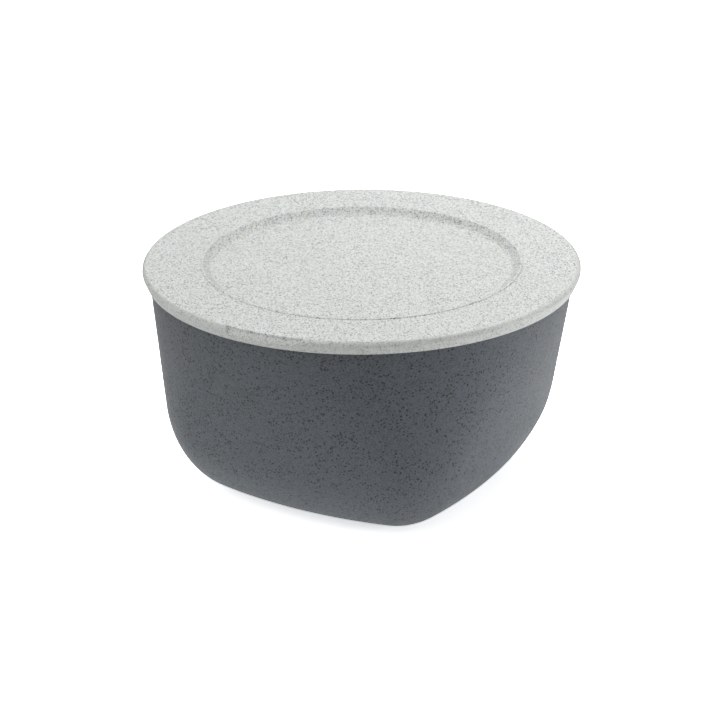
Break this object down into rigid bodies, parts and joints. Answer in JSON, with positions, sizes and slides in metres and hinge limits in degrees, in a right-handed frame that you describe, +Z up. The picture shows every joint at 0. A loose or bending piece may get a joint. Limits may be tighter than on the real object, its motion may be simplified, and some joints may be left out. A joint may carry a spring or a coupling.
{
  "type": "lidded storage bowl",
  "caption": "Round-rimmed plastic bowl that blends to a rounded-square base, with a press-on lid that has a sunken panel and a thumb notch.",
  "frame": {"origin": "centre of the base plane, on the axis of the round rim", "axes": "+Z up through the lid, +X and +Y square to the base's sides; the thumb notch is at -Y, about 3 degrees round"},
  "size_m": [0.156, 0.1556, 0.0824],
  "materials": {
    "bowl_plastic": "satin charcoal with near-black and pale mineral-like speckles",
    "lid_plastic": "satin pale grey with fine grey flecks"
  },
  "bodies": {
    "bowl": {"bowl": "bowl_plastic"},
    "lid": {"lid": "lid_plastic"}
  },
  "joints": [
    {"name": "lid_lift", "type": "slide", "parent": "bowl", "child": "lid", "axis": [0, 0, 1], "range_m": [0, 0.1]}
  ]
}
